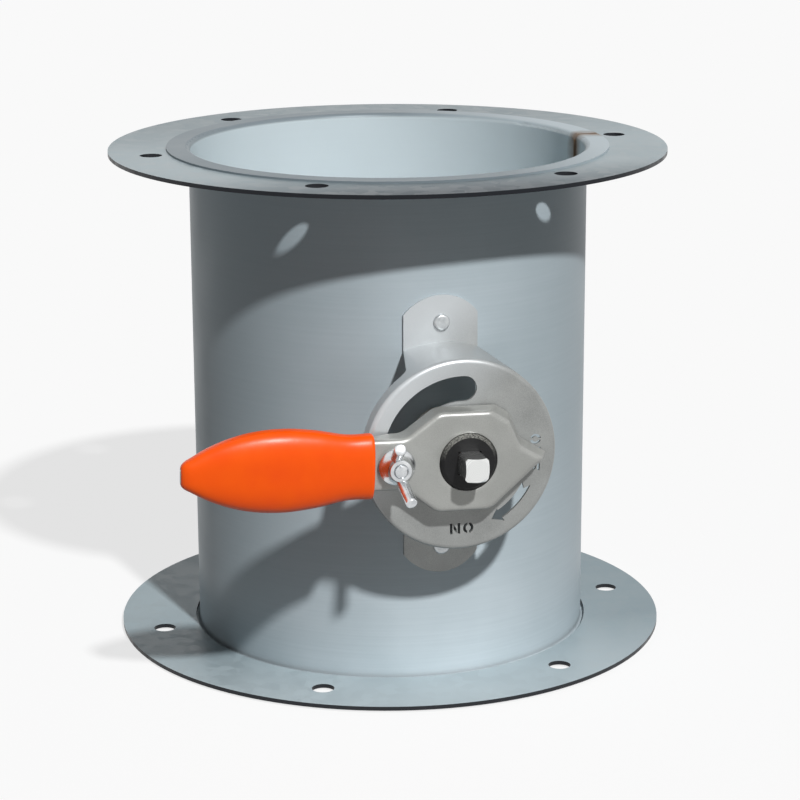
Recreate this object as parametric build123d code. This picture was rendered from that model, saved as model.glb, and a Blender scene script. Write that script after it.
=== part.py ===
from build123d import *
import os
from math import atan2, cos, degrees, hypot, radians, sin, sqrt

# Manual duct damper: a flanged length of round duct with a turning blade, a dial plate and a clamped lever.
# Millimetres. +Z runs up the duct, the origin is on the duct's axis at the underside of the lower lip,
# the shaft lies along Y and the lever side faces -Y. The lever rests near the OFF mark, pointing to -X.

# Duct and its turned-out lips
duct_bore = 198.0
duct_wall = 1.0
duct_length = 250.0
lip_width = 11.0
lip_bend = 1.5
seam_gap = 1.6
seam_bead = 1.3

# Ring flanges, measured outwards from the outside of the duct
flange_reach = 40.0
flange_thickness = 2.0
flange_clearance = 2.0
bolt_circle_reach = 20.0
bolt_hole = 11.0
bolt_count = 6

# Shaft, its bushes and clips
shaft_diameter = 14.0
shaft_square = 11.0
shaft_flats = 10.0
shaft_end_chamfer = 1.6
shaft_stand_out = 15.5
shaft_fit = 0.05
bush_seat = 20.0
bush_flange = 28.0
bush_flange_thickness = 2.5
clip_depth = 0.8
clip_height = 2.8
clip_thickness = 1.0
clip_mouth = 70.0
clip_play = 0.3
rear_washer_thickness = 1.0
rear_overhang = 3.0

# Blade and its fasteners
blade_thickness = 2.0
blade_clearance = 1.8
blade_bolt = 6.0
blade_bolt_pitch = 55.0
blade_bolt_count = 3
hex_flats = 10.0
hex_head = 4.0
hex_nut = 5.0
washer_diameter = 12.0
washer_thickness = 1.2
bolt_tail = 2.0

# Dial plate, with the legs and feet that stand it off the duct
dial_diameter = 92.0
dial_thickness = 1.5
dial_stand_off = 37.0
dial_skirt = 9.0
dial_bend = 2.2
leg_root_width = 48.0
leg_root_round = 5.0
foot_width = 36.4
foot_reach = 22.6
foot_end_radius = 22.5
foot_rivet_reach = 9.5
rivet_diameter = 4.0
rivet_head = 8.0
rivet_head_height = 1.6
slot_inset = 14.0
slot_width = 12.0
slot_start = 88.0
slot_end = 184.0
arrow_inset = 8.3
arrow_width = 4.5
arrow_tail = -27.0
arrow_neck = -58.0
arrow_point = -66.0
arrow_barb = 1.9
arrow_notch = 2.6
letter_height = 5.3
letter_width = 5.0
letter_stroke = 1.25
letter_gap = 0.45
letter_pitch = 6.4
letter_inset = 10.4
on_angle = -90.0
off_angle = -2.0

# Lever tray
lever_gap = 1.0
lever_depth = 10.5
lever_sheet = 2.0
lever_spread = 0.5
lever_edge = 2.0
hub_half_height = 24.2
hub_back = 14.5
hub_front = 15.0
arm_start = 30.0
arm_half_height = 12.6
arm_back_cut = 3.5
arm_end = 55.0
pointer_reach = 39.5
pointer_spread = 3.0
hub_hole = 27.6
drive_bush_fit = 0.25
drive_bush_stand_out = 1.6
drive_bush_key_length = 20.0
drive_bush_key_height = 37.0
drive_bush_key_thickness = 5.0

# Grip sleeve on the lever's tail
grip_stand_off = 10.7
grip_length = 88.8
grip_sink = 1.5
grip_fit = 0.1
grip_mouth_round = 1.2
tang_half_height = 10.0
tang_tip_half_height = 3.2
tang_recess = 0.5
# distance from the mouth, half height, half thickness
grip_stations = [
    (0.0, 15.4, 7.2),
    (11.0, 15.2, 7.2),
    (27.0, 18.0, 8.2),
    (42.0, 19.3, 8.6),
    (56.0, 18.3, 8.0),
    (68.0, 15.4, 6.8),
    (78.0, 11.3, 5.4),
    (85.0, 7.4, 4.4),
]
grip_tip_half = 4.6
grip_tip_thickness = 3.4
grip_corner = 0.72

# Clamp bolt, washer and wing nut
clamp_inset = 11.5
clamp_bolt = 6.0
clamp_head = 12.0
clamp_head_height = 2.4
clamp_play = 0.2
clamp_tail = 1.7
clamp_washer = 16.0
clamp_washer_thickness = 1.2
clamp_washer_round = 0.4
nut_base = 17.4
nut_top = 10.4
nut_height = 8.4
nut_land = 1.2
nut_flare = 5.5
nut_fit = 0.08
wing_angle = 12.9
wing_bar = 5.4
wing_root_reach = 4.1
wing_root_height = 2.3
wing_reach = 13.4
wing_rise = 17.2
wing_round = 0.6

# How far the lever is turned from the shut stop
rest_turn = 1.5

duct_radius = duct_bore / 2 + duct_wall
dial_radius = dial_diameter / 2
clamp_radius = dial_radius - clamp_inset
slot_radius = dial_radius - slot_inset
arrow_outer = dial_radius - arrow_inset
arrow_inner = arrow_outer - arrow_width
letter_radius = dial_radius - letter_inset
grip_mouth = clamp_radius + grip_stand_off
shaft_height = duct_length / 2
shaft_radius = shaft_diameter / 2
lip_radius = duct_radius + lip_width
dial_front = duct_radius + dial_stand_off
dial_back = dial_front - dial_thickness
skirt_back = dial_front - dial_skirt
foot_tip = dial_radius + foot_reach
foot_rivet_height = dial_radius + foot_rivet_reach
lever_rim = dial_front + lever_gap
lever_face = lever_rim + lever_depth
shaft_end = lever_face + shaft_stand_out
seat_gap = 0.05


def front_plane(out):
    """Sketch plane facing the lever side, `out` from the duct's axis, centred on the shaft."""
    return Plane(origin=(0, -out, shaft_height), x_dir=(1, 0, 0), z_dir=(0, -1, 0))


def slab(sketch, back, front):
    """A sketch drawn as seen from the lever side, filled between two distances from the duct's axis."""
    return extrude(front_plane(back) * sketch, front - back)


def clamp_plane(out):
    """Plane across the clamp bolt's axis, with its X along the upper wing of the nut."""
    wing = (-sin(radians(wing_angle)), 0, cos(radians(wing_angle)))
    return Plane(origin=(-clamp_radius, -out, shaft_height), x_dir=wing, z_dir=(0, -1, 0))


def polar(radius, angle):
    """Point of a front view at a radius and an angle in degrees from +X."""
    return (radius * cos(radians(angle)), radius * sin(radians(angle)))


def inset(points, distances):
    """Closed clockwise polygon with side i moved inwards by distances[i]; side i starts at point i."""
    sides = []
    for start, end, distance in zip(points, points[1:] + points[:1], distances):
        length = hypot(end[0] - start[0], end[1] - start[1])
        along = ((end[0] - start[0]) / length, (end[1] - start[1]) / length)
        inward = (along[1], -along[0])
        sides.append(((start[0] + inward[0] * distance, start[1] + inward[1] * distance), along))
    corners = []
    for (p, u), (q, v) in zip(sides[-1:] + sides[:-1], sides):
        step = ((q[0] - p[0]) * v[1] - (q[1] - p[1]) * v[0]) / (u[0] * v[1] - u[1] * v[0])
        corners.append((p[0] + u[0] * step, p[1] + u[1] * step))
    return corners


def polygon(points):
    """Flat face with straight sides."""
    return make_face(Polyline(*points, close=True))


def duct_body():
    """Rolled wall with both lips as one turned profile, with the seam's bead, lip gaps and shaft holes."""
    section = make_face(Plane.XZ * Polyline(
        (lip_radius, 0), (lip_radius, duct_wall), (duct_radius, duct_wall),
        (duct_radius, duct_length - duct_wall), (lip_radius, duct_length - duct_wall),
        (lip_radius, duct_length), (duct_bore / 2, duct_length), (duct_bore / 2, 0), close=True))
    bore_corners = [v for v in section.vertices() if abs(v.X - duct_bore / 2) < seat_gap]
    section = fillet(bore_corners, lip_bend + duct_wall)
    back_corners = [v for v in section.vertices()
                    if abs(v.X - duct_radius) < seat_gap and min(v.Z, duct_length - v.Z) < lip_bend]
    section = fillet(back_corners, lip_bend)
    body = revolve(section, Axis.Z)
    bead_length = duct_length - 2 * (lip_bend + duct_wall)
    body += Pos(duct_radius - duct_wall / 2, 0, shaft_height) * Cylinder(seam_bead, bead_length)
    gap_length = lip_width - lip_bend / 2 + duct_wall
    for level in (0, duct_length):
        body -= Pos(lip_radius + duct_wall - gap_length / 2, 0, level) * Box(gap_length, seam_gap, 4 * duct_wall)
    body -= slab(Circle(bush_seat / 2), -lip_radius, lip_radius)
    for side in (-1, 1):
        foot_hole = Pos(0, side * foot_rivet_height) * Circle(rivet_diameter / 2 + seat_gap)
        body -= slab(foot_hole, 0, lip_radius)
    return body


def flange(level):
    """Ring with its bolt holes, standing on the given level."""
    ring = Circle(duct_radius + flange_reach) - Circle(duct_radius + flange_clearance)
    ring -= PolarLocations(duct_radius + bolt_circle_reach, bolt_count) * Circle(bolt_hole / 2)
    return Pos(0, 0, level) * extrude(ring, flange_thickness)


def wall_bush():
    """Flanged bush in the duct wall, with the back of its flange fitted to the round of the duct."""
    wall_depth = sqrt((duct_bore / 2) ** 2 - (bush_seat / 2) ** 2)
    face = duct_radius + bush_flange_thickness
    collar = slab(Circle(bush_flange / 2), wall_depth, face) - Cylinder(duct_radius + seat_gap, 2 * duct_length)
    body = slab(Circle(bush_seat / 2 - seat_gap), wall_depth, face)
    return collar + body - slab(Circle(shaft_radius + shaft_fit), 0, lip_radius)


def dial_bush():
    """Flanged bush that carries the shaft in the dial."""
    collar = slab(Circle(bush_flange / 2), dial_back - bush_flange_thickness, dial_back)
    body = slab(Circle(bush_seat / 2 - seat_gap), dial_back - bush_flange_thickness, dial_front)
    return collar + body - slab(Circle(shaft_radius + shaft_fit), 0, dial_front)


def rivet(head, rise, back, front):
    """Shank with a domed head in front and a flat one behind, on the plane's origin."""
    back_rise = rise / 2
    shank = slab(Circle(rivet_diameter / 2), back - back_rise, front)
    front_head = slab(Circle(head / 2), front, front + rise)
    front_head = fillet(front_head.edges().sort_by(Axis.Y)[0], rise * 0.75)
    return shank + front_head + slab(Circle(head / 2), back - back_rise, back)


def foot_rivets():
    """One rivet through each foot of the dial plate and the duct wall."""
    inside = duct_bore / 2 - seat_gap - (rivet_head / 2) ** 2 / duct_bore
    one = rivet(rivet_head, rivet_head_height, inside, duct_radius + dial_thickness + seat_gap)
    return Part() + [Pos(0, 0, side * foot_rivet_height) * one for side in (-1, 1)]


def stroke(start, end):
    """One straight letter stroke between two points."""
    length = hypot(end[0] - start[0], end[1] - start[1])
    angle = degrees(atan2(end[1] - start[1], end[0] - start[0]))
    middle = ((start[0] + end[0]) / 2, (start[1] + end[1]) / 2)
    return Pos(*middle) * Rot(0, 0, angle) * Rectangle(length, letter_stroke)


def letter(name):
    """Stencil letter O, N or F about its own middle, with the bridges that hold its parts together."""
    half = letter_height / 2
    side = (letter_width - letter_stroke) / 2
    bridge = letter_stroke + letter_gap
    if name == "O":
        ring = Ellipse(letter_width / 2, half) - Ellipse(letter_width / 2 - letter_stroke, half - letter_stroke)
        return ring - Rectangle(2 * letter_gap, 2 * letter_height)
    if name == "N":
        posts = stroke((-side, -half), (-side, half)) + stroke((side, -half), (side, half))
        slant = stroke((-side, half), (side, -half)) & Rectangle(letter_width, letter_height)
        for edge in (-side, side):
            slant -= Pos(edge, 0) * Rectangle(letter_stroke + 2 * letter_gap, 2 * letter_height)
        return posts + slant
    post = stroke((-side, -half), (-side, half))
    top = half - letter_stroke / 2
    arms = stroke((-side + bridge - letter_stroke / 2, top), (letter_width / 2, top))
    arms += stroke((-side + bridge - letter_stroke / 2, 0), (letter_width / 2 - letter_stroke / 2, 0))
    return post + arms


def word(text, angle):
    """Word on the dial with the tops of its letters outwards, centred on an angle."""
    result = Sketch()
    for place, name in enumerate(text):
        shift = (place - (len(text) - 1) / 2) * letter_pitch
        result += Rot(0, 0, angle - 90) * Pos(shift, letter_radius) * letter(name)
    return result


def arrow():
    """Curved arrow with a notched tail, from the OFF mark towards the ON mark."""
    middle = (arrow_inner + arrow_outer) / 2
    notch = degrees(arrow_notch / middle)
    outer_tail = polar(arrow_outer, arrow_tail)
    inner_tail = polar(arrow_inner, arrow_tail)
    outer_neck = polar(arrow_outer, arrow_neck)
    inner_neck = polar(arrow_inner, arrow_neck)
    half_way = (arrow_tail + arrow_neck) / 2
    sides = [
        ThreePointArc(outer_tail, polar(arrow_outer, half_way), outer_neck),
        Line(outer_neck, polar(arrow_outer + arrow_barb, arrow_neck)),
        Line(polar(arrow_outer + arrow_barb, arrow_neck), polar(middle, arrow_point)),
        Line(polar(middle, arrow_point), polar(arrow_inner - arrow_barb / 2, arrow_neck)),
        Line(polar(arrow_inner - arrow_barb / 2, arrow_neck), inner_neck),
        ThreePointArc(inner_neck, polar(arrow_inner, half_way), inner_tail),
        Line(inner_tail, polar(middle, arrow_tail - notch)),
        Line(polar(middle, arrow_tail - notch), outer_tail),
    ]
    return make_face(sides)


def dial_legs():
    """Two legs that carry the skirt on to the duct, each tapering to its foot from rounded roots."""
    band = Pos(0, -skirt_back - dial_skirt / 2) * Rectangle(2 * dial_diameter, dial_skirt)
    taper = polygon([
        (-leg_root_width / 2, -skirt_back), (leg_root_width / 2, -skirt_back),
        (foot_width / 2, -duct_radius), (foot_width / 2, 0), (-foot_width / 2, 0), (-foot_width / 2, -duct_radius)])
    outline = band + taper
    roots = [v for v in outline.vertices() if abs(v.Y + skirt_back) < seat_gap and abs(v.X) < dial_radius]
    outline = fillet(roots, leg_root_round)
    ring = slab(Circle(dial_radius) - Circle(dial_radius - dial_thickness), 0, dial_front - dial_bend)
    legs = ring & Pos(0, 0, shaft_height) * extrude(outline, dial_diameter, both=True)
    return legs - Cylinder(duct_radius + seat_gap, 2 * duct_length)


def dial_foot(side):
    """Round-ended foot beyond a leg, rolled to the duct and holed for its rivet."""
    foot_face = duct_radius + dial_thickness
    saddle = Cylinder(foot_face + seat_gap, 2 * duct_length) - Cylinder(duct_radius + seat_gap, 2 * duct_length)
    foot = Pos(0, side * foot_tip / 2) * Rectangle(foot_width, foot_tip) - Circle(dial_radius - dial_thickness)
    foot &= Pos(0, side * (foot_tip - foot_end_radius)) * Circle(foot_end_radius)
    foot -= Pos(0, side * foot_rivet_height) * Circle(rivet_diameter / 2 + seat_gap)
    return slab(foot, 0, 2 * duct_radius) & saddle


def dial_plate():
    """Pressed cup on two legs, with its shaft hole, arc slot, arrow and words cut through the face."""
    cup = slab(Circle(dial_radius), skirt_back, dial_front)
    cup = fillet(cup.edges().sort_by(Axis.Y)[0], dial_bend)
    hollow = slab(Circle(dial_radius - dial_thickness), skirt_back, dial_back)
    hollow = fillet(hollow.edges().sort_by(Axis.Y)[0], dial_bend - dial_thickness)
    cuts = Circle(bush_seat / 2)
    cuts += SlotArc(CenterArc((0, 0), slot_radius, slot_start, slot_end - slot_start), slot_width)
    cuts += arrow()
    cuts += word("ON", on_angle)
    cuts += word("OFF", off_angle)
    cup -= hollow + slab(cuts, dial_back - dial_thickness, dial_front + dial_thickness)
    return cup + dial_legs() + dial_foot(1) + dial_foot(-1)


def shaft():
    """Round bar with two long flats for the blade, clip grooves and a square end turned down at its tip."""
    rear = duct_radius + bush_flange_thickness + clip_play + rear_washer_thickness
    rear_end = rear + clip_thickness + rear_overhang
    bar = slab(Circle(shaft_radius), -rear_end, shaft_end)
    flat_length = duct_bore - blade_clearance
    for side in (-1, 1):
        cut = Pos(0, 0, shaft_height + side * (shaft_flats / 2 + shaft_radius / 2))
        bar -= cut * Box(shaft_diameter, flat_length, shaft_radius)
    square_start = dial_front + clip_play + 2 * clip_thickness
    bar &= slab(Circle(shaft_radius), -rear_end, square_start) + slab(
        Rectangle(shaft_square, shaft_square), square_start, shaft_end)
    tip = slab(Circle(shaft_radius), -rear_end, shaft_end)
    bar &= chamfer(tip.edges().sort_by(Axis.Y)[0], shaft_end_chamfer)
    groove = Circle(shaft_radius) - Circle(shaft_radius - clip_depth)
    bar -= slab(groove, dial_front + clip_play, dial_front + clip_play + clip_thickness)
    bar -= slab(groove, -rear - clip_thickness, -rear)
    for place in range(blade_bolt_count):
        along = (place - (blade_bolt_count - 1) / 2) * blade_bolt_pitch
        bar -= Pos(0, along, shaft_height) * Cylinder(blade_bolt / 2 + seat_gap, 2 * shaft_diameter)
    return bar


def clip(back):
    """Open spring ring in a shaft groove that starts at `back`."""
    ring = Circle(shaft_radius - clip_depth + clip_height) - Circle(shaft_radius - clip_depth)
    reach = 2 * shaft_diameter
    mouth = polygon([(0, 0), polar(reach, -90 - clip_mouth / 2), polar(reach, -90 + clip_mouth / 2)])
    return slab(ring - mouth, back, back + clip_thickness)


def rear_washer():
    """Flat washer between the rear bush and the rear clip."""
    front = -(duct_radius + bush_flange_thickness + clip_play)
    ring = Circle(bush_seat / 2) - Circle(shaft_radius + shaft_fit)
    return slab(ring, front - rear_washer_thickness, front)


def blade_stack(build):
    """The same fastener piece at each bolt of the blade, built about the shaft's axis."""
    places = [(place - (blade_bolt_count - 1) / 2) * blade_bolt_pitch for place in range(blade_bolt_count)]
    return Part() + [Pos(0, along, shaft_height) * build() for along in places]


def blade():
    """Round plate that lies on the shaft's upper flat."""
    plate = Pos(0, 0, shaft_height + shaft_flats / 2) * extrude(
        Circle(duct_bore / 2 - blade_clearance), blade_thickness)
    for place in range(blade_bolt_count):
        along = (place - (blade_bolt_count - 1) / 2) * blade_bolt_pitch
        plate -= Pos(0, along, shaft_height) * Cylinder(blade_bolt / 2 + seat_gap, 4 * shaft_diameter)
    return plate


def blade_bolt_piece():
    """Hexagon bolt, head on the blade and tail through the nut below."""
    top = shaft_flats / 2 + blade_thickness
    length = top + shaft_flats / 2 + washer_thickness + hex_nut + bolt_tail
    head = Pos(0, 0, top) * extrude(RegularPolygon(hex_flats / 2, 6, major_radius=False), hex_head)
    head = chamfer(head.faces().sort_by(Axis.Z)[-1].edges(), hex_head / 8)
    return head + Pos(0, 0, top - length) * extrude(Circle(blade_bolt / 2), length)


def blade_washer_piece():
    """Plain washer under the shaft's lower flat."""
    ring = Circle(washer_diameter / 2) - Circle(blade_bolt / 2 + seat_gap)
    return Pos(0, 0, -shaft_flats / 2 - washer_thickness) * extrude(ring, washer_thickness)


def blade_nut_piece():
    """Hexagon nut under the washer."""
    ring = RegularPolygon(hex_flats / 2, 6, major_radius=False) - Circle(blade_bolt / 2 + seat_gap)
    return Pos(0, 0, -shaft_flats / 2 - washer_thickness - hex_nut) * extrude(ring, hex_nut)


def lever_outline():
    """Rim of the lever tray as seen from the lever side, clockwise from the arm's upper end."""
    upper = [
        (-arm_end, arm_half_height),
        (-arm_start, arm_half_height),
        (-hub_back, hub_half_height),
        (hub_front, hub_half_height),
    ]
    lower = [(x, -z) for x, z in reversed(upper)]
    return upper + [(pointer_reach, 0)] + lower


def lever_prism(grow, back, front):
    """Tray shape between two distances from the duct's axis, its sides leaning in towards the face."""
    rim = lever_outline()
    spreads = [lever_spread] * 3 + [pointer_spread] * 2 + [lever_spread] * 3 + [0]
    faces = []
    for out in (back, front):
        share = (out - lever_rim) / lever_depth
        moves = [spread * share - grow for spread in spreads]
        faces.append(front_plane(out) * polygon(inset(rim, moves)))
    return loft(faces, ruled=True)


def arm_cut(grow):
    """Space behind the arm that its shortened side walls leave free."""
    step = lever_rim + arm_back_cut - grow
    side = [
        (-arm_start - arm_back_cut, lever_rim - 2 * lever_gap),
        (-grip_mouth + arm_back_cut, step),
        (-2 * arm_end, step),
        (-2 * arm_end, lever_rim - 2 * lever_gap),
    ]
    section = polygon([(x, -out) for x, out in side])
    return Pos(0, 0, shaft_height) * extrude(section, hub_half_height, both=True)


def tang(grow):
    """Flat tail of the lever inside the grip."""
    end = grip_mouth + grip_length - tang_recess + (2 * tang_recess if grow else 0)
    start = arm_end - 2 * lever_sheet
    outline = polygon([
        (-start, tang_half_height + grow), (-end, tang_tip_half_height + grow),
        (-end, -tang_tip_half_height - grow), (-start, -tang_half_height - grow)])
    return slab(outline, lever_face - lever_sheet - grow, lever_face + grow)


def lever():
    """Pressed tray with a leaning pointer, hub hole, clamp hole and tail."""
    tray = lever_prism(0, lever_rim, lever_face)
    corners = [e for e in tray.edges() if abs(e.tangent_at(0.5).Y) > 0.8]
    near_hub = [e for e in corners if e.center().X > -arm_start - lever_sheet]
    pointer = [e for e in near_hub if e.center().X > hub_front + lever_sheet]
    tray = fillet([e for e in near_hub if e not in pointer], 3 * lever_sheet)
    tray = fillet(tray.faces().sort_by(Axis.Y)[0].edges(), lever_edge)
    tray -= lever_prism(-lever_sheet, lever_rim - lever_gap, lever_face - lever_sheet)
    tray -= arm_cut(0)
    open_end = Pos(-arm_end, -lever_rim, shaft_height)
    inner_height = 2 * (arm_half_height - lever_spread - lever_sheet)
    tray -= open_end * Box(4 * lever_sheet, 2 * (lever_depth - lever_sheet), inner_height)
    tray += tang(0)
    cuts = Circle(hub_hole / 2) + Pos(-clamp_radius, 0) * Circle(clamp_bolt / 2 + drive_bush_fit)
    return tray - slab(cuts, lever_face - lever_depth, lever_face + lever_depth)


def drive_bush():
    """Moulded bush on the square end, its bevelled nose in the lever's hole and its key between the tray walls."""
    nose_front = lever_face + drive_bush_stand_out
    key_front = lever_face - lever_sheet - seat_gap
    nose = slab(Circle(hub_hole / 2 - drive_bush_fit), key_front - drive_bush_key_thickness, nose_front)
    nose = chamfer(nose.edges().sort_by(Axis.Y)[0], drive_bush_stand_out)
    key = slab(Rectangle(drive_bush_key_length, drive_bush_key_height), key_front - drive_bush_key_thickness, key_front)
    square = shaft_square + 2 * shaft_fit
    return nose + key - slab(Rectangle(square, square), lever_rim, shaft_end)


def grip():
    """Sleeve lofted through rounded sections from mouth to tip, hollow for the lever's arm and tail."""
    sections = []
    middle = lever_face - grip_sink
    ends = grip_stations + [(grip_length, grip_tip_half, grip_tip_thickness)]
    for along, half_height, half_thickness in ends:
        place = Plane(origin=(-grip_mouth - along, -middle, shaft_height), x_dir=(0, 0, 1), z_dir=(-1, 0, 0))
        sections.append(place * RectangleRounded(2 * half_height, 2 * half_thickness, grip_corner * half_thickness))
    sleeve = loft(sections)
    sleeve = fillet(sleeve.faces().sort_by(Axis.X)[-1].edges(), grip_mouth_round)
    arm = lever_prism(grip_fit, lever_rim, lever_face + grip_fit) - arm_cut(grip_fit)
    return sleeve - arm - tang(grip_fit)


def clamp_bolt_piece():
    """Low mushroom-head bolt behind the dial, square in the slot, round through lever and nut."""
    seat = dial_back - clamp_play
    end = lever_face + clamp_washer_thickness + nut_height + clamp_tail
    head = Pos(-clamp_radius, 0) * Circle(clamp_head / 2)
    bolt = slab(head, seat - clamp_head_height, seat)
    bolt = fillet(bolt.edges().sort_by(Axis.Y)[-1], clamp_head_height / 2)
    neck = Pos(-clamp_radius, 0) * Rectangle(clamp_bolt, clamp_bolt)
    bolt += slab(neck, seat, dial_front + clamp_play)
    shank = slab(Pos(-clamp_radius, 0) * Circle(clamp_bolt / 2), seat, end)
    return bolt + chamfer(shank.edges().sort_by(Axis.Y)[0], clamp_bolt / 8)


def clamp_washer_piece():
    """Thick washer with a rounded rim under the wing nut."""
    disc = slab(Pos(-clamp_radius, 0) * Circle(clamp_washer / 2), lever_face, lever_face + clamp_washer_thickness)
    disc = fillet(disc.edges().sort_by(Axis.Y)[0], clamp_washer_round)
    hole = Pos(-clamp_radius, 0) * Circle(clamp_bolt / 2 + nut_fit)
    return disc - slab(hole, lever_rim, shaft_end)


def wing_nut():
    """Bell-shaped hub with two upswept round bars for wings, bored for the bolt."""
    base = nut_base / 2
    top = nut_top / 2
    waist = (top + (base - top) / 4, (nut_land + nut_flare) / 2)
    profile = make_face([
        Line((0, 0), (base, 0)),
        Line((base, 0), (base, nut_land)),
        ThreePointArc((base, nut_land), waist, (top, nut_flare)),
        Line((top, nut_flare), (top, nut_height)),
        Line((top, nut_height), (0, nut_height)),
        Line((0, nut_height), (0, 0)),
    ])
    hub = revolve(Plane.XZ * profile, Axis.Z)
    hub = fillet(hub.edges().filter_by(GeomType.CIRCLE).sort_by(Axis.Z)[-1], wing_round)
    root = Vector(wing_root_reach, 0, wing_root_height)
    along = Vector(wing_reach, 0, wing_rise) - root
    bar = extrude(Plane(origin=root, z_dir=along) * Circle(wing_bar / 2), along.length)
    bar = fillet(bar.edges().filter_by(GeomType.CIRCLE).sort_by(Axis.Z)[-1], wing_round)
    nut = hub + bar + Rot(0, 0, 180) * bar
    nut -= Cylinder(clamp_bolt / 2 + nut_fit, 4 * wing_rise)
    return clamp_plane(lever_face + clamp_washer_thickness) * nut


def turned(piece):
    """Piece of the turning set, carried round the shaft's axis to its resting angle."""
    return Pos(0, 0, shaft_height) * Rot(0, rest_turn, 0) * Pos(0, 0, -shaft_height) * piece


rear_face = duct_radius + bush_flange_thickness + clip_play + rear_washer_thickness
fixed = {
    "duct_body": duct_body(),
    "upper_flange": flange(duct_length - duct_wall - flange_thickness),
    "lower_flange": flange(duct_wall),
    "foot_rivets": foot_rivets(),
    "dial_plate": dial_plate(),
    "front_bush": wall_bush(),
    "rear_bush": Rot(0, 0, 180) * wall_bush(),
    "dial_bush": dial_bush(),
}
turning = {
    "shaft": shaft(),
    "blade": blade(),
    "blade_bolts": blade_stack(blade_bolt_piece),
    "blade_washers": blade_stack(blade_washer_piece),
    "blade_nuts": blade_stack(blade_nut_piece),
    "front_circlip": clip(dial_front + clip_play),
    "rear_circlip": clip(-rear_face - clip_thickness),
    "rear_washer": rear_washer(),
    "drive_bush": drive_bush(),
    "lever": lever(),
    "grip": grip(),
    "clamp_bolt": clamp_bolt_piece(),
    "clamp_washer": clamp_washer_piece(),
    "wing_nut": wing_nut(),
}

os.makedirs("parts", exist_ok=True)
for name, piece in fixed.items():
    export_step(piece, f"parts/{name}.step")
for name, piece in turning.items():
    export_step(turned(piece), f"parts/{name}.step")
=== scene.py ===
# %% [markdown]
# # Manual duct damper
# A short round duct of rolled sheet carries a turning blade inside and a hand lever outside. The lever
# points along a dial plate, and a wing nut clamps it in the dial's slot. The exact solids come from the
# CAD part. This lesson loads them as a fixed frame, gives each one a finish, and rebuilds with numpy the
# few pieces whose soft, pressed or moulded shape the plain solids only sketch.

import bmesh
import bpy
import numpy as np
from mathutils import Matrix, Vector


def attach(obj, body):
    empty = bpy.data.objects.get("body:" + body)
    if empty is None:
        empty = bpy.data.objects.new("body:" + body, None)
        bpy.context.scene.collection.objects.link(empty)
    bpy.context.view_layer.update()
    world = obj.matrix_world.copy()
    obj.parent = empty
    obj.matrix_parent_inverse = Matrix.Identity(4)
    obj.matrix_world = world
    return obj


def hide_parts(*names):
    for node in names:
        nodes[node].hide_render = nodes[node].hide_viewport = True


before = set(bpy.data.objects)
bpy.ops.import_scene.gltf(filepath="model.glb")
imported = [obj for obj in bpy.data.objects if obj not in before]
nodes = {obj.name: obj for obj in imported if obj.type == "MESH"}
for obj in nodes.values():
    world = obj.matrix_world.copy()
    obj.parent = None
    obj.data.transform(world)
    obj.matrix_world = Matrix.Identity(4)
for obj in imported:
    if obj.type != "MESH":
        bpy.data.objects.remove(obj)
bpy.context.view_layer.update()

# %% [markdown]
# ## The camera
# The photograph was taken from a little to the left and above, with a long lens. Lens, distance and
# angles were fitted to the ends of the duct, the flange rims and the shaft. A camera can be aimed by hand
# or with a constraint. Here its three axes are worked out from the angles, because that repeats exactly.

# %% Camera from the fitted angles
MM = 0.001
view_turn = np.radians(-14.493)
view_rise = np.radians(15.049)
view_roll = np.radians(-0.233)
view_distance = 1303.7
aim_height = 116.08
aim_shift = 5.66
sensor_width = 36
focal_length = 113.625

right = np.array([np.cos(view_turn), np.sin(view_turn), 0.0])
away = np.array([
    np.sin(view_turn) * np.cos(view_rise), -np.cos(view_turn) * np.cos(view_rise), np.sin(view_rise)])
up = np.cross(away, right)
rolled_right = np.cos(view_roll) * right + np.sin(view_roll) * up
rolled_up = np.cos(view_roll) * up - np.sin(view_roll) * right
camera_place = (np.array([0.0, 0.0, aim_height]) + aim_shift * right + view_distance * away) * MM
camera_axes = Matrix(np.stack([rolled_right, rolled_up, away], 1)).to_4x4()

camera_data = bpy.data.cameras.new("camera")
camera_data.sensor_width = sensor_width
camera_data.lens = focal_length
camera = bpy.data.objects.new("camera", camera_data)
camera.matrix_world = Matrix.Translation(camera_place) @ camera_axes
bpy.context.scene.collection.objects.link(camera)
bpy.context.scene.camera = camera
print("camera at", camera_place.round(3))

# %% [markdown]
# ## Helpers for finishes
# Each finish is one Principled shader. What is the same all over is set on the shader's own sockets, and
# what varies comes from noise on Object coordinates. Every solid sits at the origin, so those coordinates
# are metres in the shared frame, and a noise scale of 100 makes patches about ten millimetres wide. The
# nodes could be wired by hand in the Shader Editor. Small functions say the same in fewer words.

# %% Colours, nodes and finishes
def tone(red, green, blue):
    """Screen colour from 0 to 255 as linear light: a straight line near black, above it a power of 2.4."""
    screen = np.array([red, green, blue]) / 255
    linear = np.where(screen <= 0.04045, screen / 12.92, ((screen + 0.055) / 1.055) ** 2.4)
    return (*linear.tolist(), 1.0)


def add(material, kind, inputs=(), **settings):
    """One shader node: settings on the node itself, then its inputs set, or linked where given a socket."""
    node = material.node_tree.nodes.new("ShaderNode" + kind)
    for key, value in settings.items():
        setattr(node, key, value)
    for key, value in dict(inputs).items():
        if isinstance(value, bpy.types.NodeSocket):
            material.node_tree.links.new(value, node.inputs[key])
        else:
            node.inputs[key].default_value = value
    return node


def finish(name, **plain):
    """New material, named after its slot in the record, with plain values on the Principled shader."""
    material = bpy.data.materials.new(name + "_finish")
    material.use_nodes = True
    shader = material.node_tree.nodes["Principled BSDF"]
    for key, value in plain.items():
        shader.inputs[key.replace("_", " ")].default_value = value
    return material


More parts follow.
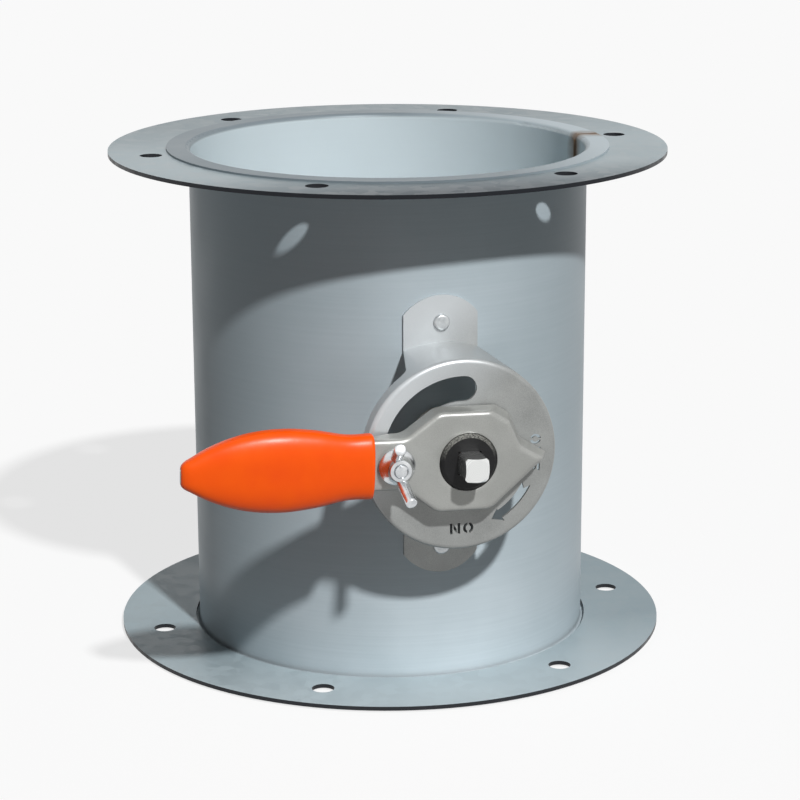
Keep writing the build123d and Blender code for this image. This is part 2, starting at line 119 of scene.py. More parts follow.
def feed(material, **sockets):
    """Links node outputs to the material's Principled shader."""
    shader = material.node_tree.nodes["Principled BSDF"]
    for key, value in sockets.items():
        material.node_tree.links.new(value, shader.inputs[key.replace("_", " ")])


def dress(material, *names):
    """Puts a finish into the first material slot of each named solid."""
    for name in names:
        nodes[name].material_slots[0].material = material
    print(material.name, "on", ", ".join(names))


print("screen grey 128 is", round(tone(128, 128, 128)[0], 3), "in linear light")


# %% Patterns
def spot(material, stretch=(1, 1, 1), centre=(0, 0, 0)):
    """Object coordinates moved so that `centre` is zero, then stretched by a factor along each axis."""
    where = add(material, "TexCoord").outputs["Object"]
    shift = add(material, "Mapping", {"Vector": where, "Location": [-value for value in centre]})
    return add(material, "Mapping", {"Vector": shift.outputs[0], "Scale": stretch}).outputs[0]


def noise(material, scale, detail=3.0, stretch=(1, 1, 1)):
    """Soft noise between 0 and 1, mostly near a half."""
    inputs = {"Vector": spot(material, stretch), "Scale": scale, "Detail": detail}
    return add(material, "TexNoise", inputs).outputs["Fac"]


def ramp(material, factor, *stops):
    """Colour at each stop along a factor, blended between the stops."""
    node = add(material, "ValToRGB", {"Fac": factor})
    elements = node.color_ramp.elements
    while len(elements) < len(stops):
        elements.new(0.5)
    for element, (position, colour) in zip(elements, stops):
        element.position = position
        element.color = colour
    return node.outputs["Color"]


def span(material, factor, low, high, start=0.0, end=1.0):
    """Straight-line change of a factor: start at low, end at high, held beyond both."""
    inputs = {"Value": factor, "From Min": low, "From Max": high, "To Min": start, "To Max": end}
    return add(material, "MapRange", inputs).outputs[0]


def calc(material, operation, first, second=0.0):
    """Result of one Math node: an operation on one or two values."""
    return add(material, "Math", {0: first, 1: second}, operation=operation).outputs[0]


def mix(material, factor, first, second):
    """Two colours blended by a factor."""
    node = add(material, "Mix", data_type="RGBA")
    for socket, value in zip((node.inputs[0], node.inputs[6], node.inputs[7]), (factor, first, second)):
        if isinstance(value, bpy.types.NodeSocket):
            material.node_tree.links.new(value, socket)
        else:
            socket.default_value = value
    return node.outputs[2]


def bump(material, height, strength, distance):
    """Normal tilted by a height pattern, its full swing worth `distance` metres."""
    inputs = {"Height": height, "Strength": strength, "Distance": distance}
    return add(material, "Bump", inputs).outputs["Normal"]


# %% [markdown]
# ## Galvanised sheet
# The duct is rolled from galvanised sheet: a cool grey with faint clouds, fine lines from the rolls round
# it, and a brown heat tint beside the welded seam at the right. Its sides carry painted shade, it is
# darker higher up and on the upper lip except at its right, and the inside wall carries painted light. A
# painted texture could hold all that. Here each follows the object's own x, y and z, and the inside is
# told from the outside by the distance from the axis.

# %% Duct sheet: zinc, painted shade and painted light
lip_low, lip_high = 0.2475, 0.2485
wall_inside, wall_outside = 0.0992, 0.0996

duct_sheet = finish("duct_sheet", Metallic=0.08, Specular_IOR_Level=0.18)
clouds = noise(duct_sheet, 22, 5)
streaks = noise(duct_sheet, 900, 4, (0.02, 0.02, 1))
sheet_tone = ramp(duct_sheet, clouds, (0.25, tone(188, 201, 207)), (0.75, tone(203, 214, 220)))
roll_lines = ramp(duct_sheet, streaks, (0.3, tone(150, 163, 170)), (0.7, tone(202, 212, 217)))
sheet_tone = mix(duct_sheet, 0.12, sheet_tone, roll_lines)

axes = add(duct_sheet, "SeparateXYZ", {0: spot(duct_sheet)}).outputs
sideways = calc(duct_sheet, "ABSOLUTE", axes["X"])
below_lip = span(duct_sheet, axes["Z"], lip_low, lip_high, 1.0, 0.0)
# Painted shade: the duct's sides are painted darker, where the light falls away from them.
painted_side_shade = calc(duct_sheet, "MULTIPLY", below_lip, span(duct_sheet, sideways, 0.02, 0.095, 0.0, 0.5))
sheet_tone = mix(duct_sheet, painted_side_shade, sheet_tone, tone(124, 138, 145))
# Darker higher up: from 10 to 110 mm up the duct the tone moves towards a darker grey.
darker_above = span(duct_sheet, axes["Z"], 0.01, 0.11, 0.0, 0.35)
sheet_tone = mix(duct_sheet, darker_above, sheet_tone, tone(128, 141, 147))
across = spot(duct_sheet, (1, 1, 0))
from_axis = add(duct_sheet, "VectorMath", {0: across}, operation="LENGTH").outputs["Value"]
# Painted light: the inside wall is painted lighter, as where the sun falls on it.
painted_inside_light = span(duct_sheet, from_axis, wall_inside, wall_outside, 0.75, 0.0)
sheet_tone = mix(duct_sheet, painted_inside_light, sheet_tone, tone(214, 225, 229))
# The upper lip is darker, except at its right.
on_lip = span(duct_sheet, axes["Z"], lip_low, lip_high)
darker_lip = calc(duct_sheet, "MULTIPLY", on_lip, span(duct_sheet, axes["X"], 0.03, 0.1, 0.8, 0.0))
sheet_tone = mix(duct_sheet, darker_lip, sheet_tone, tone(100, 110, 116))
print("duct sheet: inside of the wall below", wall_inside, "m from the axis")

# %% Duct sheet: heat tint at the seam
seam_side = span(duct_sheet, axes["X"], 0.085, 0.095)
seam_distance = calc(duct_sheet, "ABSOLUTE", axes["Y"])
ragged = calc(duct_sheet, "MULTIPLY", noise(duct_sheet, 120, 4), 0.01)
tint = span(duct_sheet, calc(duct_sheet, "ADD", seam_distance, ragged), 0.006, 0.016, 1.0, 0.0)
sheet_tone = mix(duct_sheet, calc(duct_sheet, "MULTIPLY", tint, seam_side), sheet_tone, tone(112, 92, 74))
feed(
    duct_sheet, Base_Color=sheet_tone,
    Roughness=span(duct_sheet, clouds, 0.3, 0.7, 0.36, 0.48),
    Normal=bump(duct_sheet, noise(duct_sheet, 900, 2), 0.05, 0.0004))
dress(duct_sheet, "duct_body", "blade")

# %% [markdown]
# ## Spangled flange plate
# The loose flange rings are cut from thicker galvanised plate, whose zinc froze in crystals a few
# millimetres wide. Voronoi cells with a random shade each give that. The upper ring is made darker in
# front and less so at the back. The lower one is made lighter in front and darker at the back and the
# right. The laser-cut rims are dark. They are found by the surface's own direction: a rim looks sideways,
# a face looks up or down.

# %% Flange plate: crystals and places
flange_plate = finish("flange_plate", Metallic=0.12)
crystals = add(flange_plate, "TexVoronoi", {"Vector": spot(flange_plate, (1, 1, 0.3)), "Scale": 170.0})
crystal_shade = add(flange_plate, "SeparateColor", {0: crystals.outputs["Color"]}).outputs[0]
plate_tone = ramp(flange_plate, crystal_shade, (0.0, tone(146, 160, 165)), (1.0, tone(170, 184, 189)))
blotches = ramp(
    flange_plate, noise(flange_plate, 14, 5), (0.35, tone(138, 154, 160)), (0.65, tone(184, 196, 200)))
plate_tone = mix(flange_plate, 0.3, plate_tone, blotches)

ring_axes = add(flange_plate, "SeparateXYZ", {0: spot(flange_plate)}).outputs
upper_ring = span(flange_plate, ring_axes["Z"], 0.1, 0.2)
lower_ring = span(flange_plate, ring_axes["Z"], 0.1, 0.2, 1.0, 0.0)
# The upper ring is darker in front and less so at the back. The lower one is lighter in front and darker at
# the back and right.
front_darkening = span(flange_plate, ring_axes["Y"], -0.135, -0.07, 0.95, 0.15)
back_darkening = span(flange_plate, ring_axes["Y"], 0.0, 0.09, 0.15, 0.5)
upper_darkening = calc(flange_plate, "MULTIPLY", upper_ring, calc(flange_plate, "MAXIMUM", front_darkening, back_darkening))
front_lightening = span(flange_plate, ring_axes["Y"], -0.13, -0.04, 0.5, 0.0)
lower_lightening = calc(flange_plate, "MULTIPLY", lower_ring, front_lightening)
lower_back_darkening = span(flange_plate, ring_axes["Y"], -0.12, -0.03, 0.0, 0.4)
lower_right_darkening = span(flange_plate, ring_axes["X"], 0.03, 0.1, 0.0, 0.7)
lower_darkening = calc(flange_plate, "MULTIPLY", lower_ring, calc(flange_plate, "MAXIMUM", lower_back_darkening, lower_right_darkening))
print("flange plate: tone_changes of both rings from", len(flange_plate.node_tree.nodes), "nodes")

# %% Flange plate: tones
plate_tone = mix(flange_plate, lower_darkening, plate_tone, tone(112, 130, 138))
plate_tone = mix(flange_plate, upper_darkening, plate_tone, tone(66, 74, 80))
plate_tone = mix(flange_plate, lower_lightening, plate_tone, tone(204, 216, 221))
plate_normal = add(flange_plate, "NewGeometry").outputs["Normal"]
facing = add(flange_plate, "SeparateXYZ", {0: plate_normal}).outputs["Z"]
rim_share = span(flange_plate, calc(flange_plate, "ABSOLUTE", facing), 0.5, 0.9, 1.0, 0.0)
plate_tone = mix(flange_plate, rim_share, plate_tone, tone(40, 42, 46))
feed(
    flange_plate, Base_Color=plate_tone,
    Specular_IOR_Level=span(flange_plate, upper_darkening, 0.0, 1.0, 0.25, 0.05),
    Roughness=span(flange_plate, crystal_shade, 0.0, 1.0, 0.3, 0.46),
    Normal=bump(flange_plate, noise(flange_plate, 700, 2), 0.04, 0.0004))
dress(flange_plate, "upper_flange", "lower_flange")

# %% [markdown]
# ## Pressed zinc-plated steel
# Dial and lever are stamped and plated, a slightly warm satin grey with fine grain from the plating. One
# function makes both finishes. The dial is duller, but its upper left part carries a painted sheen: a
# straight ramp across the dial mixes in a brighter tone, a painted reflection.

# %% Zinc pressing
shaft_height = 125.0


def zinc_plated(material, dull, bright, patch_scale):
    """Cloudy plating between two tones, with a fine grain that also roughens the surface."""
    grain = noise(material, 2600, 2)
    patches = noise(material, patch_scale, 4)
    plating = ramp(material, patches, (0.3, dull), (0.7, bright))
    speckle = ramp(material, grain, (0.35, tone(120, 122, 122)), (0.65, tone(210, 212, 211)))
    roughness = span(material, patches, 0.3, 0.7, 0.28, 0.42)
    feed(material, Roughness=roughness, Normal=bump(material, grain, 0.08, 0.0002))
    return mix(material, 0.15, plating, speckle)


zinc_pressing = finish("zinc_pressing", Metallic=0.35)
lever_tone = zinc_plated(zinc_pressing, tone(148, 149, 145), tone(162, 163, 159), 45)
feed(zinc_pressing, Base_Color=lever_tone)
dress(zinc_pressing, "lever")

dial_zinc = finish("dial_zinc", Metallic=0.35)
dial_tone = zinc_plated(dial_zinc, tone(136, 138, 136), tone(156, 158, 156), 60)
dial_axes = add(dial_zinc, "SeparateXYZ", {0: spot(dial_zinc, centre=(0, 0, shaft_height * MM))}).outputs
# Painted reflection: the dial's upper left is painted brighter, as a sheen would make it.
to_upper_left = calc(dial_zinc, "SUBTRACT", dial_axes["Z"], dial_axes["X"])
painted_sheen = span(dial_zinc, to_upper_left, 0.01, 0.06, 0.0, 0.8)
feed(dial_zinc, Base_Color=mix(dial_zinc, painted_sheen, dial_tone, tone(208, 213, 216)))
dress(dial_zinc, "dial_plate")

# %% [markdown]
# ## Bright hardware, shaft, rivets and clips
# The small fixings are bright zinc, nearly a mirror but with a soft bloom. The shaft's end was faced on a
# lathe, which leaves rings about its axis. Rivets are plain aluminium and the spring clips are dark. A
# flat grey would do at this size, but noise in tone and roughness keeps them alive close up.

# %% Small metal pieces
bright_hardware = finish("bright_hardware", Metallic=0.95)
bloom = noise(bright_hardware, 260, 3)
feed(
    bright_hardware,
    Base_Color=ramp(bright_hardware, bloom, (0.3, tone(196, 199, 202)), (0.7, tone(226, 228, 229))),
    Roughness=span(bright_hardware, bloom, 0.3, 0.7, 0.14, 0.28))
dress(
    bright_hardware, "wing_nut", "clamp_washer", "clamp_bolt", "blade_bolts", "blade_nuts", "blade_washers")

turned_steel = finish("turned_steel", Metallic=0.95, Roughness=0.18)
axis_spot = spot(turned_steel, centre=(0, 0, shaft_height * MM))
rings = add(
    turned_steel, "TexWave", {"Vector": axis_spot, "Scale": 420.0, "Distortion": 0.6, "Detail": 2.0},
    wave_type="RINGS", rings_direction="Y").outputs["Fac"]
feed(
    turned_steel,
    Base_Color=ramp(turned_steel, rings, (0.0, tone(222, 224, 223)), (1.0, tone(240, 241, 239))),
    Normal=bump(turned_steel, rings, 0.06, 0.0002))
dress(turned_steel, "shaft", "rear_washer")

rivet_metal = finish("rivet_metal", Metallic=0.8, Roughness=0.35)
feed(rivet_metal, Base_Color=ramp(
    rivet_metal, noise(rivet_metal, 500, 3), (0.3, tone(176, 180, 182)), (0.7, tone(205, 208, 209))))
dress(rivet_metal, "foot_rivets")

spring_steel = finish("spring_steel", Metallic=0.7, Roughness=0.4)
feed(spring_steel, Base_Color=ramp(
    spring_steel, noise(spring_steel, 700, 3), (0.3, tone(52, 52, 54)), (0.7, tone(78, 78, 80))))
dress(spring_steel, "front_circlip", "rear_circlip")

# %% [markdown]
# ## Moulded nylon and vinyl
# The bushes are moulded nylon: pale in the duct and dial, black in the lever, where the top of the bevel
# carries a painted highlight in grey. It is found by the surface's own direction, as on the rims. The
# handle is dipped in glossy orange vinyl, whose colour clouds slightly and whose skin has a faint
# orange-peel ripple.

# %% Plastics
pale_nylon = finish("pale_nylon", Roughness=0.45)
pale_clouds = noise(pale_nylon, 90, 3)
pale_tone = ramp(pale_nylon, pale_clouds, (0.3, tone(214, 211, 200)), (0.7, tone(228, 226, 217)))
feed(pale_nylon, Base_Color=pale_tone, Normal=bump(pale_nylon, noise(pale_nylon, 1500, 2), 0.05, 0.0002))
dress(pale_nylon, "front_bush", "rear_bush", "dial_bush")

black_nylon = finish("black_nylon", Roughness=0.5, Specular_IOR_Level=0.25)
nylon_tone = ramp(black_nylon, noise(black_nylon, 140, 3), (0.3, tone(12, 12, 13)), (0.7, tone(22, 22, 23)))
nylon_normal = add(black_nylon, "TexCoord").outputs["Normal"]
upward = add(black_nylon, "SeparateXYZ", {0: nylon_normal}).outputs["Z"]
# Painted highlight: the upward-facing top of the bevel is speckled grey, where the sun catches it.
bevel_highlight = ramp(black_nylon, noise(black_nylon, 1500, 3), (0.4, tone(52, 52, 50)), (0.6, tone(128, 128, 123)))
feed(
    black_nylon,
    Base_Color=mix(black_nylon, span(black_nylon, upward, 0.1, 0.55), nylon_tone, bevel_highlight),
    Normal=bump(black_nylon, noise(black_nylon, 1800, 2), 0.5, 0.0003))
dress(black_nylon, "drive_bush")

orange_vinyl = finish("orange_vinyl", Specular_IOR_Level=0.28)
dip_clouds = noise(orange_vinyl, 60, 3)
feed(
    orange_vinyl,
    Base_Color=ramp(orange_vinyl, dip_clouds, (0.3, tone(247, 82, 0)), (0.7, tone(252, 91, 2))),
    Roughness=span(orange_vinyl, dip_clouds, 0.3, 0.7, 0.3, 0.4),
    Normal=bump(orange_vinyl, noise(orange_vinyl, 420, 2), 0.08, 0.0004))
dress(orange_vinyl, "grip")

# %% [markdown]
# ## Helpers for shapes
# A new piece is a grid of points: each row is a closed ring, and neighbouring rings are joined by
# four-sided faces. The ends are capped, or the last ring joins the first. Such a piece could be modelled
# by hand with loop cuts, but numpy works out all points at once and the numbers stay in sight.

# %% Grid to mesh
rest_turn = np.radians(1.5)
smooth_limit = np.radians(35)


def on_front(across, height, out):
    """Points of the turning set in metres: `across` and `height` from the shaft turned by the resting angle,
    and `out` measured from the duct's axis towards the lever."""
    across, height, out = np.broadcast_arrays(across, height, out)
    turned_across = across * np.cos(rest_turn) + height * np.sin(rest_turn)
    turned_height = height * np.cos(rest_turn) - across * np.sin(rest_turn)
    return np.stack([turned_across, -out, turned_height + shaft_height], -1) * MM


def shell(rings, joined=False):
    """Points, faces and end caps of a stack of rings: a face joins points k and k+1 of ring r to those of
    ring r+1. The two end rings become flat caps, unless the last ring is joined to the first."""
    index = np.arange(rings.shape[0] * rings.shape[1]).reshape(rings.shape[:2])
    beside = np.roll(index, -1, axis=1)
    faces = np.stack([index, beside, np.roll(beside, -1, axis=0), np.roll(index, -1, axis=0)], -1)
    if joined:
        return rings.reshape(-1, 3), faces.reshape(-1, 4), index[:0]
    return rings.reshape(-1, 3), faces[:-1].reshape(-1, 4), np.stack([index[0, ::-1], index[-1]])


def make_piece(name, shells, material, body, stands_for):
    """One mesh object from closed shells, faces outwards, smooth but for its sharp edges."""
    points, faces, start = [], [], 0
    for shell_points, shell_faces, caps in shells:
        points.append(shell_points)
        faces += (shell_faces + start).tolist() + (caps + start).tolist()
        start += len(shell_points)
    mesh = bpy.data.meshes.new(name)
    mesh.from_pydata(np.concatenate(points).tolist(), [], faces)
    edit = bmesh.new()
    edit.from_mesh(mesh)
    bmesh.ops.recalc_face_normals(edit, faces=edit.faces)
    edit.to_mesh(mesh)
    edit.free()
    mesh.shade_smooth()
    mesh.set_sharp_from_angle(angle=smooth_limit)
    mesh.materials.append(material)
    piece = bpy.data.objects.new(name, mesh)
    bpy.context.scene.collection.objects.link(piece)
    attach(piece, body)
    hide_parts(*stands_for)
    print(name, len(mesh.vertices), "points", len(mesh.polygons), "faces")
    return piece


# %% [markdown]
# ## The lever
# The lever is pressed from two-millimetre sheet into a shallow tray: a flat face, a rounded bend all
# round and side walls, nearly upright but leaning outwards at the pointer. It could be boxed and
# bevelled, but a pressing's bend keeps one radius, so a profile is carried round the rounded outline,
# once outside and once inside, and the two skins close at hole and rim. The flat steel tail behind it,
# which carries the grip, is a rounded box that narrows to its end.

# %% Rounded outline
def inset(corners, moves):
    """Corners of a polygon whose sides have each moved inwards by their own amount: neighbouring side lines,
    written as normal . point = constant, are solved for the point where they meet."""
    side = np.roll(corners, -1, axis=0) - corners
    normal = np.stack([side[:, 1], -side[:, 0]], -1)
    normal /= np.linalg.norm(normal, axis=1, keepdims=True)
    constant = np.sum(normal * corners, axis=1) + moves
    pairs = np.stack([np.roll(normal, 1, axis=0), normal], 1)
    return np.linalg.solve(pairs, np.stack([np.roll(constant, 1), constant], 1)[..., None])[..., 0]


def rounded(corners, radii, arc_points=17):
    """Closed ring round a polygon: at each corner an arc that touches both sides, its points turned evenly
    from one side to the other, then points along the straight side, closer together near its ends."""
    to_last = np.roll(corners, 1, axis=0) - corners
    to_next = np.roll(corners, -1, axis=0) - corners
    to_last /= np.linalg.norm(to_last, axis=1, keepdims=True)
    to_next /= np.linalg.norm(to_next, axis=1, keepdims=True)
    half = np.arccos(np.sum(to_last * to_next, axis=1)) / 2
    touch = (radii / np.tan(half))[:, None]
    start = corners + to_last * touch
    end = corners + to_next * touch
    bisector = to_last + to_next
    bisector /= np.linalg.norm(bisector, axis=1, keepdims=True)
    centre = corners + bisector * (radii / np.sin(half))[:, None]
    turn = (np.pi - 2 * half)[:, None, None]
    share = np.linspace(0, 1, arc_points)[None, :, None]
    from_start = np.sin((1 - share) * turn) * (start - centre)[:, None]
    from_end = np.sin(share * turn) * (end - centre)[:, None]
    arc = centre[:, None] + (from_start + from_end) / np.sin(turn)
    along = np.array([0.02, 0.08, 0.25, 0.5, 0.75, 0.92, 0.98])[None, :, None]
    straight = end[:, None] + along * (np.roll(start, -1, axis=0) - end)[:, None]
    return np.concatenate([arc, straight], axis=1).reshape(-1, 2)


lever_corners = np.array([
    (-55, 12.6), (-30, 12.6), (-14.5, 24.2), (15, 24.2), (21.6, 20.2), (27.2, 8.2), (41, 0),
    (15, -24.2), (-14.5, -24.2), (-30, -12.6), (-55, -12.6)], float)
lever_lean = np.array([0.5, 0.5, 0.5, 3.0, 3.0, 3.0, 3.0, 0.5, 0.5, 0.5, 0.0])
corner_radii = np.array([1.0, 9.0, 8.0, 4.0, 4.0, 6.0, 1.0, 8.0, 8.0, 9.0, 1.0])
print("outline points:", len(rounded(lever_corners, corner_radii)))

# %% Rings of the lever
lever_face = 148.5
lever_depth = 10.5
lever_rim = lever_face - lever_depth
bend = 2.2
arm_rim_cut = 3.5
arm_cut_start = 36.0
arm_cut_blend = 6.0


def lever_ring(out, extra=0.0):
    """Outline of the tray at one distance out: the rim outline with each side moved in by its lean for that
    height above the rim, plus an extra inset."""
    share = (out - lever_rim) / lever_depth
    return rounded(inset(lever_corners, lever_lean * share + extra), corner_radii)


face_edge = lever_ring(lever_face)
edge_angle = np.arctan2(face_edge[:, 1], face_edge[:, 0])


def hub_ring(radius, out):
    """Circle about the shaft whose points look towards the outline's points, so rings never cross."""
    return on_front(radius * np.cos(edge_angle), radius * np.sin(edge_angle), out)


def face_rings(start, end_flat, out, count):
    """Flat rings blended from a circle about the shaft to a ring of the outline."""
    share = np.linspace(0, 1, count)[:, None]
    across = start * np.cos(edge_angle) * (1 - share) + end_flat[:, 0] * share
    height = start * np.sin(edge_angle) * (1 - share) + end_flat[:, 1] * share
    return on_front(across, height, out)


def bend_ring(angle):
    """Ring on the bend, a quarter circle from the face (angle 0) down to the wall."""
    out = lever_face - bend * (1 - np.cos(angle))
    flat = lever_ring(out, bend * (1 - np.sin(angle)))
    return on_front(flat[:, 0], flat[:, 1], out)


def wall_ring(out_share, extra):
    """Ring on the wall between rim and bend: straight from the outline at the rim to the one under the bend.
    Behind the arm the rim rises by a cut, blended over a few millimetres."""
    foot = lever_ring(lever_rim, extra)
    top = lever_ring(lever_face - bend, extra)
    step = np.clip((-lever_ring(lever_rim)[:, 0] - arm_cut_start) / arm_cut_blend, 0, 1)
    low = lever_rim + arm_rim_cut * step * step * (3 - 2 * step)
    out = low + (lever_face - bend - low) * out_share
    share = ((out - lever_rim) / (lever_depth - bend))[:, None]
    flat = foot + (top - foot) * share
    return on_front(flat[:, 0], flat[:, 1], out)


print("lever from", lever_rim, "to", lever_face, "mm out,", len(edge_angle), "points in a ring")

# %% Lever tray and tail
lever_sheet = 2.0
lever_back = lever_face - lever_sheet
hub_hole = 13.8
hole_round = 0.3
rim_round = 0.25
inner_bend = 0.6
tail_from, tail_to = 51.0, 134.1
tail_half_from, tail_half_to = 10.0, 3.2
tail_round_share = 0.35

skin = [
    hub_ring(hub_hole, lever_face - hole_round),
    hub_ring(hub_hole + hole_round / 3, lever_face - hole_round / 3)]
skin += list(face_rings(hub_hole + hole_round, lever_ring(lever_face, bend), lever_face, count=6))
skin += [bend_ring(angle) for angle in np.radians([15, 30, 45, 60, 75])]
skin += [wall_ring(share, 0.0) for share in (1.0, 0.9, 0.5, 0.1, 0.03)]
skin += [wall_ring(0.0, rim_round), wall_ring(0.0, lever_sheet - rim_round)]
skin += [wall_ring(share, lever_sheet) for share in (0.03, 0.5, 0.95)]
inner_edge = lever_ring(lever_back, lever_sheet + inner_bend)
skin += list(face_rings(hub_hole + hole_round, inner_edge, lever_back, count=4)[::-1])
skin.append(hub_ring(hub_hole, lever_back + hole_round))

tail_along = np.linspace(0, 1, 24)[:, None]
tail_half = tail_half_from + (tail_half_to - tail_half_from) * tail_along
square = np.array([(1, 1), (1, -1), (-1, -1), (-1, 1)], float)
tail_section = rounded(square, np.full(4, tail_round_share), arc_points=5)
tail = on_front(
    -(tail_from + (tail_to - tail_from) * tail_along), tail_half * tail_section[None, :, 0],
    lever_face - lever_sheet / 2 + lever_sheet / 2 * tail_section[None, :, 1])
make_piece(
    "lever_pressing", [shell(np.stack(skin), joined=True), shell(tail)], zinc_pressing,
    "damper_rotor", ["lever"])

# %% [markdown]
# ## The orange grip
# The grip is a dipped vinyl sleeve, slim at the mouth, full in the palm and narrow at the tip, where the
# steel tail just shows. A subdivision cage could give it too. Here each cross section is a superellipse,
# a rounded box between an ellipse and a rectangle, and its two half sizes follow a smooth curve through a
# few stations. A row below gives a section's place along the grip, half height and half thickness, and in
# the mouth and the tail's slot also how far out of the grip's middle it lies.

# %% Curves for the grip
def smooth_through(where, knots, values):
    """Cubic curve through the knots: each piece is a Hermite blend of its two values and of slopes taken
    from the neighbouring knots."""
    slope = np.gradient(values, knots)
    piece = np.clip(np.searchsorted(knots, where, side="right") - 1, 0, len(knots) - 2)
    width = knots[piece + 1] - knots[piece]
    share = (where - knots[piece]) / width
    first_weight = 2 * share**3 - 3 * share**2 + 1
    by_value = values[piece] * first_weight + values[piece + 1] * (1 - first_weight)
    by_slope = slope[piece] * (share**3 - 2 * share**2 + share) + slope[piece + 1] * (share**3 - share**2)
    return by_value + width * by_slope


def superellipse(half_height, half_thickness, power=2.7, count=96):
    """Unit ring raised to a power: |h|^power + |t|^power = 1, scaled to the two half sizes."""
    angle = np.linspace(0, 2 * np.pi, count, endpoint=False)[None]
    sine, cosine = np.sin(angle), np.cos(angle)
    height = half_height[:, None] * np.sign(sine) * np.abs(sine) ** (2 / power)
    thickness = half_thickness[:, None] * np.sign(cosine) * np.abs(cosine) ** (2 / power)
    return height, thickness


stations = np.array([
    (0, 15.4, 7.2), (11, 15.2, 7.2), (27, 18.0, 8.2), (42, 19.3, 8.6), (56, 18.3, 8.0),
    (68, 15.4, 6.8), (78, 11.3, 5.4), (85, 7.4, 4.4)])
print("grip stations:", len(stations), "height at the fullest:", 2 * stations[:, 1].max(), "mm")

# %% Grip
grip_mouth = 45.2
grip_middle = lever_face - 1.5
sleeve_start = 2.0
sleeve_rings = 56
sleeve_end, end_height, end_thickness = stations[-1]
nose_length = 3.8
nose_narrowing, nose_thinning, nose_lift = 3.8, 3.1, 0.5
nose_start = np.radians(50)

sleeve_along = np.linspace(sleeve_start, sleeve_end, sleeve_rings)
sleeve = np.stack([
    sleeve_along, smooth_through(sleeve_along, stations[:, 0], stations[:, 1]),
    smooth_through(sleeve_along, stations[:, 0], stations[:, 2]), np.zeros(sleeve_rings)], 1)
mouth = np.array([
    (9.0, 12.9, 3.9, -2.0), (0.8, 12.9, 3.9, -2.0), (0.15, 13.1, 4.1, -1.8), (0.0, 13.5, 5.0, -1.2),
    (0.1, 14.4, 6.2, -0.5), (0.5, 15.0, 6.85, 0.0), (1.2, 15.3, 7.15, 0.0)])
nose_turn = np.radians(np.array([54, 58, 63, 69, 75, 80, 84, 87, 90]))
nose_share = (np.sin(nose_turn) - np.sin(nose_start)) / (1 - np.sin(nose_start))
nose_drop = 1 - np.cos(nose_turn) / np.cos(nose_start)
nose = np.stack([
    sleeve_end + nose_length * nose_share, end_height - nose_narrowing * nose_drop,
    end_thickness - nose_thinning * nose_drop, nose_lift * nose_drop], 1)
tail_slot = np.array([(88.5, 3.5, 1.25, 0.5), (86.5, 3.5, 1.25, 0.5)])
sections = np.concatenate([mouth, sleeve, nose, tail_slot])
height, thickness = superellipse(sections[:, 1], sections[:, 2])
grip_rings = on_front(-(grip_mouth + sections[:, :1]), height, grip_middle + sections[:, 3:] + thickness)
make_piece("grip_sleeve", [shell(grip_rings)], orange_vinyl, "damper_rotor", ["grip"])

# %% [markdown]
# ## The wing nut
# A cast wing nut clamps the lever: a bell-shaped hub, open through the middle for the bolt, and two round
# bars that sweep up and out to flat ends. It could be one mesh joined with booleans. Here the hub is a
# profile turned about the bolt, and each bar is a circle carried along a gently bent path that starts
# inside the hub.

# %% Wing nut
washer_thickness = 1.2
nut_out = lever_face + washer_thickness
clamp_across = -34.5
wing_lean = np.radians(12.9)
wing_radius = 2.75
wing_root, wing_root_rise = 4.1, 2.3
wing_run, wing_climb, wing_upsweep = 9.3, 13.2, 1.7
bell = np.array([
    (3.05, 0.0), (8.4, 0.0), (8.7, 0.3), (8.7, 1.0), (8.5, 1.35), (7.6, 2.1), (6.6, 3.2), (5.8, 4.4),
    (5.35, 5.6), (5.2, 6.6), (5.2, 7.7), (5.0, 8.2), (4.5, 8.4), (3.5, 8.4), (3.05, 8.0)])


def on_nut(along_wing, across_wing, rise):
    """Points about the bolt: along and across the wings, and rise above the washer."""
    across = clamp_across - along_wing * np.sin(wing_lean) + across_wing * np.cos(wing_lean)
    height = along_wing * np.cos(wing_lean) + across_wing * np.sin(wing_lean)
    return on_front(across, height, nut_out + rise)


def wing(side):
    """Bar on one side: its centre line rises with the way out and a little with its square, and a circle
    stands square to it. The first ring shrinks to stay out of the bolt's hole, the last ones to a rounded
    edge round a flat end."""
    share = np.concatenate([[0.1], np.linspace(0.15, 0.96, 17), [0.98, 0.992, 1.0]])[:, None]
    thinner = np.concatenate([[0.55], np.zeros(17), [0.1, 0.25, 0.6]])[:, None]
    radius = wing_radius - thinner
    reach = wing_root + wing_run * share
    rise = wing_root_rise + wing_climb * share + wing_upsweep * share**2
    slope = np.arctan2(wing_climb + 2 * wing_upsweep * share, wing_run)
    ring = np.linspace(0, 2 * np.pi, 32, endpoint=False)[None]
    outward = reach - radius * np.cos(ring) * np.sin(slope)
    upward_rise = rise + radius * np.cos(ring) * np.cos(slope)
    return on_nut(side * outward, radius * np.sin(ring), upward_rise)


spin = np.linspace(0, 2 * np.pi, 72, endpoint=False)[None]
hub = on_nut(bell[:, :1] * np.cos(spin), bell[:, :1] * np.sin(spin), bell[:, 1:])
make_piece(
    "wing_nut_casting", [shell(hub, joined=True), shell(wing(1)), shell(wing(-1))], bright_hardware,
    "wing_nut", ["wing_nut"])

# %% [markdown]
# ## Floor, light and background
# The photograph stands on white. A large pale floor catches the shadow, and the world is white where the
# camera or a reflection looks straight at it, but gives the object only soft fill light. One sun lamp
# from the front, a little to the right and high, makes the shadows under the flange and beside the lever.
# Area lamps could do it too, but a sun's parallel rays throw the lever's shadow as the photograph shows
# it.

# %% Floor
floor_half = 12.0
floor_bounce = (0.2, 0.2, 0.2, 1)
floor_pale = (0.92, 0.92, 0.92, 1)
floor_glow = 0.75


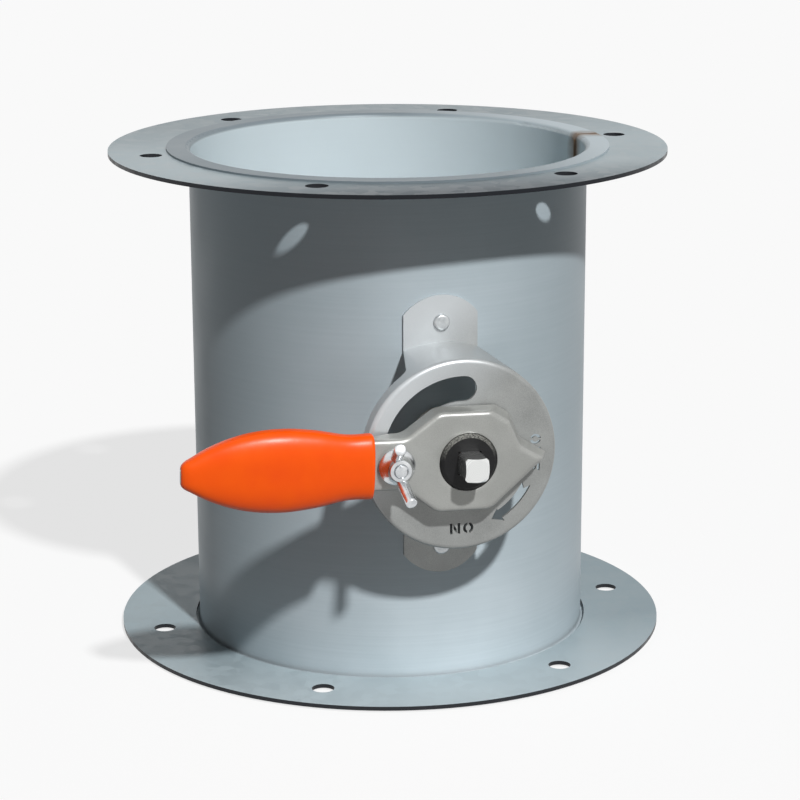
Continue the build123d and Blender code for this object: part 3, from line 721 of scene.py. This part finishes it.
def looked_at(tree_owner):
    """One where the camera, a reflection or a view through glass looks straight at it, else zero."""
    looks = add(tree_owner, "LightPath").outputs
    straight = calc(tree_owner, "MAXIMUM", looks["Is Camera Ray"], looks["Is Glossy Ray"])
    return calc(tree_owner, "MAXIMUM", straight, looks["Is Transmission Ray"])


floor_mesh = bpy.data.meshes.new("floor")
floor_corners = np.array([(-1, -1, 0), (1, -1, 0), (1, 1, 0), (-1, 1, 0)]) * floor_half
floor_mesh.from_pydata(floor_corners.tolist(), [], [(0, 1, 2, 3)])
floor = bpy.data.objects.new("floor", floor_mesh)
bpy.context.scene.collection.objects.link(floor)
floor_paint = finish("floor_paint", Roughness=0.9, Specular_IOR_Level=0.0)
seen = looked_at(floor_paint)
feed(floor_paint, Base_Color=mix(floor_paint, seen, floor_bounce, floor_pale))
white = add(floor_paint, "Emission", {"Color": (1, 1, 1, 1), "Strength": 1.0})
floor_tree = floor_paint.node_tree
blend = add(floor_paint, "MixShader", {
    0: calc(floor_paint, "MULTIPLY", seen, floor_glow), 1: floor_tree.nodes["Principled BSDF"].outputs[0],
    2: white.outputs[0]})
floor_tree.links.new(blend.outputs[0], floor_tree.nodes["Material Output"].inputs["Surface"])
floor_mesh.materials.append(floor_paint)
print("floor", 2 * floor_half, "m wide")

# %% World and sun
fill_light = 0.075
sun_strength = 3.52
sun_width = np.radians(3)
sun_direction = Vector((-0.14, 0.70, -0.70))

world = bpy.data.worlds.new("studio")
world.use_nodes = True
bpy.context.scene.world = world
background = world.node_tree.nodes["Background"]
background.inputs["Color"].default_value = (1, 1, 1, 1)
world_light = span(world, looked_at(world), 0.0, 1.0, fill_light, 1.0)
world.node_tree.links.new(world_light, background.inputs["Strength"])

sun = bpy.data.lights.new("sun", "SUN")
sun.energy = sun_strength
sun.angle = sun_width
sun_lamp = bpy.data.objects.new("sun", sun)
sun_lamp.rotation_euler = sun_direction.to_track_quat("-Z", "Y").to_euler()
bpy.context.scene.collection.objects.link(sun_lamp)
bpy.context.scene.view_settings.view_transform = "Standard"
print("sun of strength", sun.energy, "and fill light of", fill_light)
